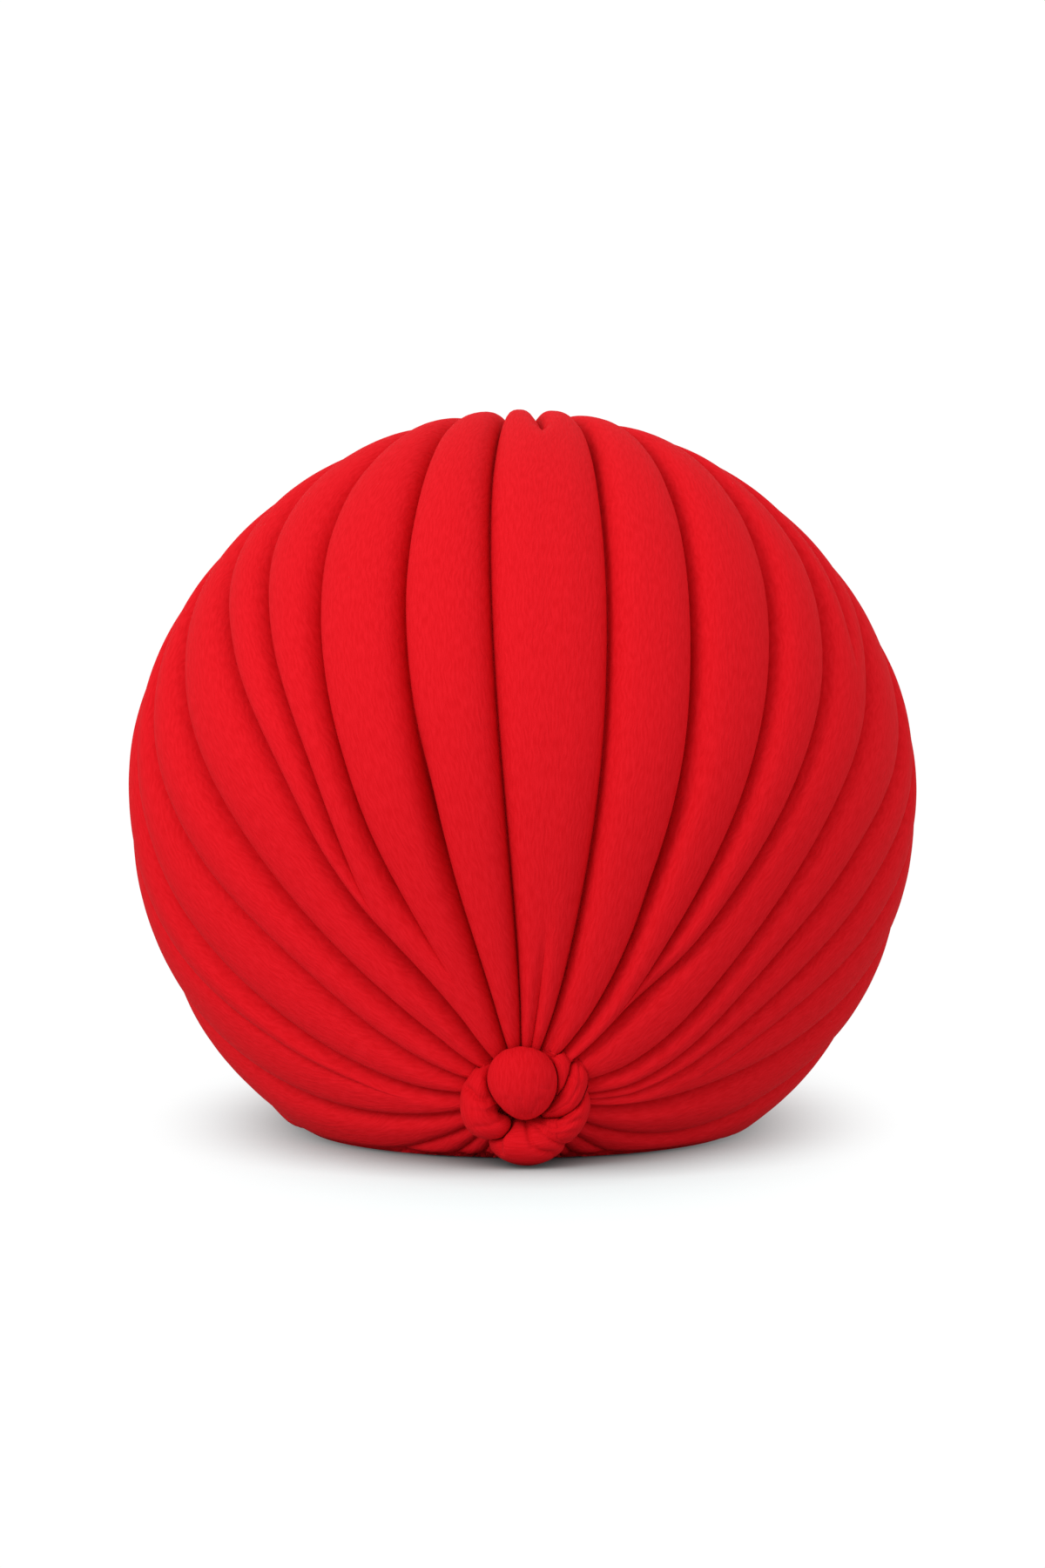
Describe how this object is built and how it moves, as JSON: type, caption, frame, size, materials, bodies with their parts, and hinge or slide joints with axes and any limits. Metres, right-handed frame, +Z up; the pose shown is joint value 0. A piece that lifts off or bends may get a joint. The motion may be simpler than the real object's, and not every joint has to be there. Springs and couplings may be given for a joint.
{
  "type": "turban hat",
  "caption": "Soft pleated turban hat: a round hollow crown whose pleats run from a knot of rolled cloth low at the front to a gather behind the top.",
  "frame": {"origin": "on the surface that the hat rests on, under the middle of its box", "axes": "+Z up, front with the knot towards -Y, +X to the viewer's right"},
  "size_m": [0.2393, 0.2384, 0.2168],
  "materials": {
    "crown_cloth": "matt red knitted crepe, finely crinkled",
    "knot_cloth": "matt red knitted crepe, finely crinkled, stretched over the rolls"
  },
  "bodies": {
    "root": {"crown": "crown_cloth", "knot_ball": "knot_cloth", "knot_left_turn": "knot_cloth", "knot_outer_strand": "knot_cloth", "knot_right_turn": "knot_cloth", "knot_inner_strand": "knot_cloth", "knot_bottom_turn": "knot_cloth"}
  },
  "joints": []
}
